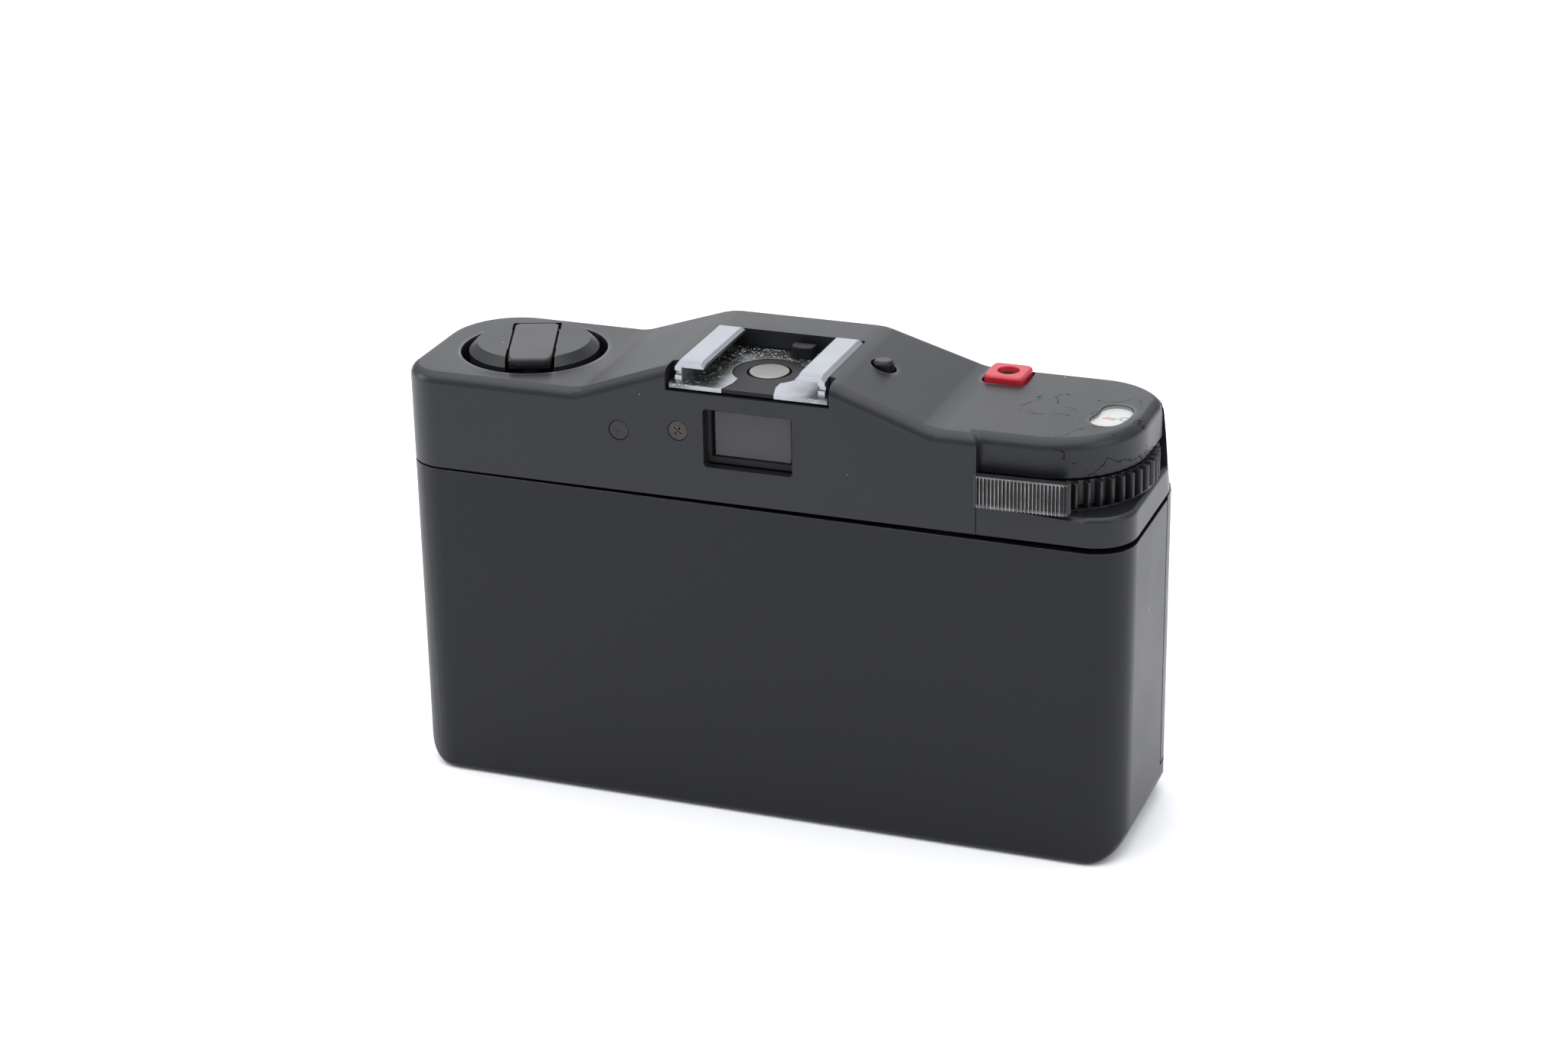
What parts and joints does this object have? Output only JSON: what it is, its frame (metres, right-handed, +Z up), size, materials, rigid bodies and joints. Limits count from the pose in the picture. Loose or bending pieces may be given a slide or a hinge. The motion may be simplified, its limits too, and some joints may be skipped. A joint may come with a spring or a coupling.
{
  "type": "compact film camera",
  "caption": "Flat black compact film camera with a raised viewfinder hump, accessory shoe, folding front, rim advance wheel and rewind crank.",
  "frame": {"origin": "centre of the base, on the plane the camera stands on", "axes": "+Z up, +Y towards the rear (eyepiece side), +X towards the rewind end"},
  "size_m": [0.1003, 0.033, 0.0632],
  "materials": {
    "black_shell": "satin black glass-filled moulding",
    "black_inner": "matt black moulding",
    "black_metal": "blackened metal",
    "bright_metal": "bright nickel plate",
    "steel": "satin steel",
    "brass": "machined brass",
    "red": "red moulding",
    "glass": "coated glass",
    "white": "white dial",
    "board": "circuit board"
  },
  "bodies": {
    "root": {"top_cover": "black_shell", "front_shell": "black_shell", "chassis": "black_inner", "counter_window": "glass", "mechanism_plate": "steel", "accessory_shoe": "bright_metal", "shoe_insulator": "black_inner", "shoe_contact": "steel", "viewfinder_tube": "black_inner", "eyepiece_window": "glass", "viewfinder_window": "glass", "light_cell_window": "glass", "meter_board": "board", "rear_screw_1": "black_shell", "rear_screw_2": "black_shell", "flap_hinge_pin": "steel", "battery": "steel"},
    "back_cover": {"back_cover": "black_shell", "pressure_plate": "black_metal", "pressure_spring": "steel", "tripod_bush": "steel"},
    "base_lock_key": {"base_lock_key": "steel"},
    "front_flap": {"front_flap": "black_shell", "flap_cam_left": "steel", "flap_cam_right": "steel"},
    "light_sleeve": {"light_sleeve": "black_metal"},
    "lens_carrier": {"lens_carrier": "black_metal", "lens_barrel": "black_metal", "shutter_unit": "black_inner", "iris_plate": "black_inner", "front_element": "glass", "rear_element": "glass"},
    "focus_ring": {"focus_ring": "black_metal"},
    "aperture_ring": {"aperture_ring": "black_metal"},
    "advance_wheel": {"advance_wheel": "black_inner", "wheel_shaft": "steel", "thumb_pad": "black_metal", "drive_gear": "brass"},
    "take_up_spool": {"take_up_spool": "black_inner"},
    "film_sprocket": {"film_sprocket": "black_inner", "sprocket_gear": "brass"},
    "counter_dial": {"counter_dial": "white"},
    "rewind_collar": {"rewind_collar": "steel"},
    "rewind_knob": {"rewind_knob": "black_shell", "crank_pin": "steel", "rewind_fork": "steel"},
    "rewind_crank": {"rewind_crank": "black_shell"},
    "release_button": {"release_button": "red", "release_clip": "steel"},
    "check_button": {"check_button": "black_shell"},
    "battery_cap": {"battery_cap": "black_inner"}
  },
  "joints": [
    {"name": "back_slide", "type": "slide", "parent": "root", "child": "back_cover", "axis": [0, 0, -1], "range_m": [0, 0.055]},
    {"name": "lock_key_turn", "type": "hinge", "parent": "back_cover", "child": "base_lock_key", "pos_m": [-0.014, 0.001, 0.00015], "axis": [0, 0, 1], "range_deg": [0, 90]},
    {"name": "flap_fold", "type": "hinge", "parent": "root", "child": "front_flap", "pos_m": [0, -0.0133, 0.0037], "axis": [1, 0, 0], "range_deg": [0, 90]},
    {"name": "lens_slide", "type": "slide", "parent": "root", "child": "lens_carrier", "axis": [0, -1, 0], "range_m": [0, 0.018]},
    {"name": "sleeve_slide", "type": "slide", "parent": "root", "child": "light_sleeve", "axis": [0, -1, 0], "range_m": [0, 0.009]},
    {"name": "focus_turn", "type": "hinge", "parent": "lens_carrier", "child": "focus_ring", "pos_m": [0, -0.009, 0.025], "axis": [0, -1, 0], "range_deg": [0, 150]},
    {"name": "aperture_turn", "type": "hinge", "parent": "lens_carrier", "child": "aperture_ring", "pos_m": [0, -0.009, 0.025], "axis": [0, -1, 0], "range_deg": [0, 75]},
    {"name": "wheel_stroke", "type": "hinge", "parent": "root", "child": "advance_wheel", "pos_m": [-0.037, 0.0021, 0.0493], "axis": [0, 0, 1], "range_deg": [0, 90], "stiffness_Nm_per_rad": 0.002},
    {"name": "spool_turn", "type": "hinge", "parent": "root", "child": "take_up_spool", "pos_m": [-0.037, 0.0021, 0.0043], "axis": [0, 0, 1], "range_deg": [0, 180]},
    {"name": "sprocket_turn", "type": "hinge", "parent": "root", "child": "film_sprocket", "pos_m": [-0.0241, 0.004, 0.0043], "axis": [0, 0, 1], "range_deg": [-180, 0]},
    {"name": "counter_step", "type": "hinge", "parent": "root", "child": "counter_dial", "pos_m": [-0.037, 0.0021, 0.0549], "axis": [0, 0, 1], "range_deg": [0, 18]},
    {"name": "rewind_lift", "type": "slide", "parent": "root", "child": "rewind_collar", "axis": [0, 0, 1], "range_m": [0, 0.004]},
    {"name": "rewind_turn", "type": "hinge", "parent": "rewind_collar", "child": "rewind_knob", "pos_m": [0.0359, 0.0021, 0.0546], "axis": [0, 0, 1], "continuous": true},
    {"name": "crank_fold", "type": "hinge", "parent": "rewind_knob", "child": "rewind_crank", "pos_m": [0.03753, -0.00252, 0.05865], "axis": [0.9432, 0.3322, 0], "range_deg": [0, 120]},
    {"name": "release_press", "type": "slide", "parent": "root", "child": "release_button", "axis": [0, 0, -1], "range_m": [0, 0.0008], "stiffness_N_per_m": 800},
    {"name": "check_press", "type": "slide", "parent": "root", "child": "check_button", "axis": [0, 0, -1], "range_m": [0, 0.0008], "stiffness_N_per_m": 600},
    {"name": "battery_cap_turn", "type": "hinge", "parent": "root", "child": "battery_cap", "pos_m": [0.0165, 0, 0.0428], "axis": [0, 0, 1], "range_deg": [0, 60]}
  ],
  "couplings": [
    {"joint": "lens_slide", "follows": "flap_fold", "m_per_rad": 0.011458},
    {"joint": "sleeve_slide", "follows": "flap_fold", "m_per_rad": 0.005729},
    {"joint": "spool_turn", "follows": "wheel_stroke", "ratio": 1},
    {"joint": "sprocket_turn", "follows": "wheel_stroke", "ratio": -1},
    {"joint": "counter_step", "follows": "wheel_stroke", "ratio": 0.1}
  ]
}
